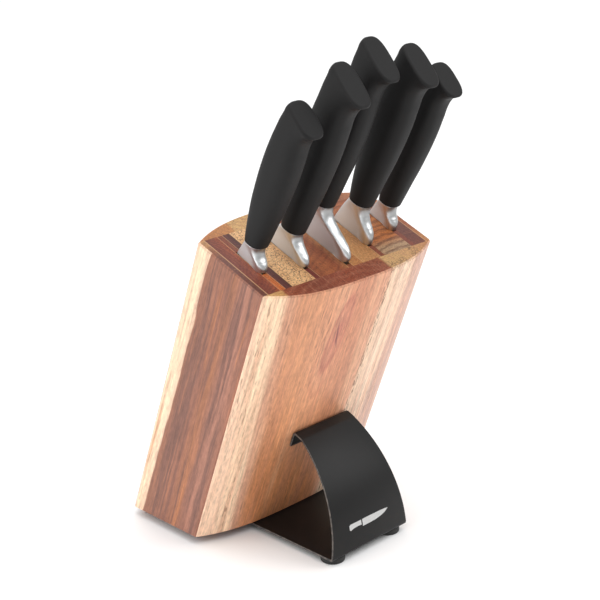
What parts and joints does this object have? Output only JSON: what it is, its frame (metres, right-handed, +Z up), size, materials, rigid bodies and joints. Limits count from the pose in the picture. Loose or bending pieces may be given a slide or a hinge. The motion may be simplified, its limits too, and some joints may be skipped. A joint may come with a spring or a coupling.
{
  "type": "knife block with knives",
  "caption": "Forward-leaning laminated wood knife block on a bent steel stand, with soft-grip knives that slide out along their slots.",
  "frame": {"origin": "centre of the whole object's footprint box, on the counter that the feet rest on", "axes": "+Z up, -Y towards the user and the stand's curved face, +X to the user's right when facing +Y"},
  "size_m": [0.15, 0.1918, 0.3339],
  "materials": {
    "wood_dark": "satin oiled",
    "wood_light": "satin oiled",
    "wood_orange": "satin oiled",
    "stand_black": "satin powder coat",
    "screw_steel": "zinc plated",
    "foot_rubber": "matte",
    "blade_steel": "fine ground",
    "bolster_steel": "satin",
    "grip_black": "soft-touch matte"
  },
  "bodies": {
    "block": {"core_board_1": "wood_dark", "core_board_2": "wood_dark", "core_board_4": "wood_dark", "core_board_8": "wood_dark", "left_end_board": "wood_dark", "core_board_3": "wood_light", "core_board_6": "wood_light", "core_board_5": "wood_orange", "core_board_7": "wood_orange", "right_end_board": "wood_orange", "front_board": "wood_orange", "back_board": "wood_orange", "paring_slot_front_slip": "wood_orange", "paring_slot_rear_slip": "wood_orange", "santoku_slot_front_slip": "wood_orange", "santoku_slot_rear_slip": "wood_orange", "chefs_slot_front_slip": "wood_orange", "chefs_slot_rear_slip": "wood_orange", "bread_slot_front_slip": "wood_orange", "bread_slot_rear_slip": "wood_orange", "utility_slot_front_slip": "wood_orange", "utility_slot_rear_slip": "wood_orange", "stand_sheet": "stand_black", "base_screws": "screw_steel", "front_left_foot": "foot_rubber", "front_right_foot": "foot_rubber", "rear_left_foot": "foot_rubber", "rear_right_foot": "foot_rubber"},
    "paring_knife": {"paring_knife_blade": "blade_steel", "paring_knife_bolster": "bolster_steel", "paring_knife_handle": "grip_black"},
    "santoku_knife": {"santoku_knife_blade": "blade_steel", "santoku_knife_bolster": "bolster_steel", "santoku_knife_handle": "grip_black"},
    "chefs_knife": {"chefs_knife_blade": "blade_steel", "chefs_knife_bolster": "bolster_steel", "chefs_knife_handle": "grip_black"},
    "bread_knife": {"bread_knife_blade": "blade_steel", "bread_knife_bolster": "bolster_steel", "bread_knife_handle": "grip_black"},
    "utility_knife": {"utility_knife_blade": "blade_steel", "utility_knife_bolster": "bolster_steel", "utility_knife_handle": "grip_black"}
  },
  "joints": [
    {"name": "paring_knife_lift", "type": "slide", "parent": "block", "child": "paring_knife", "axis": [0, -0.3697, 0.9291], "range_m": [0, 0.1]},
    {"name": "santoku_knife_lift", "type": "slide", "parent": "block", "child": "santoku_knife", "axis": [0, -0.3697, 0.9291], "range_m": [0, 0.162]},
    {"name": "chefs_knife_lift", "type": "slide", "parent": "block", "child": "chefs_knife", "axis": [0, -0.3697, 0.9291], "range_m": [0, 0.207]},
    {"name": "bread_knife_lift", "type": "slide", "parent": "block", "child": "bread_knife", "axis": [0, -0.3697, 0.9291], "range_m": [0, 0.207]},
    {"name": "utility_knife_lift", "type": "slide", "parent": "block", "child": "utility_knife", "axis": [0, -0.3697, 0.9291], "range_m": [0, 0.137]}
  ]
}
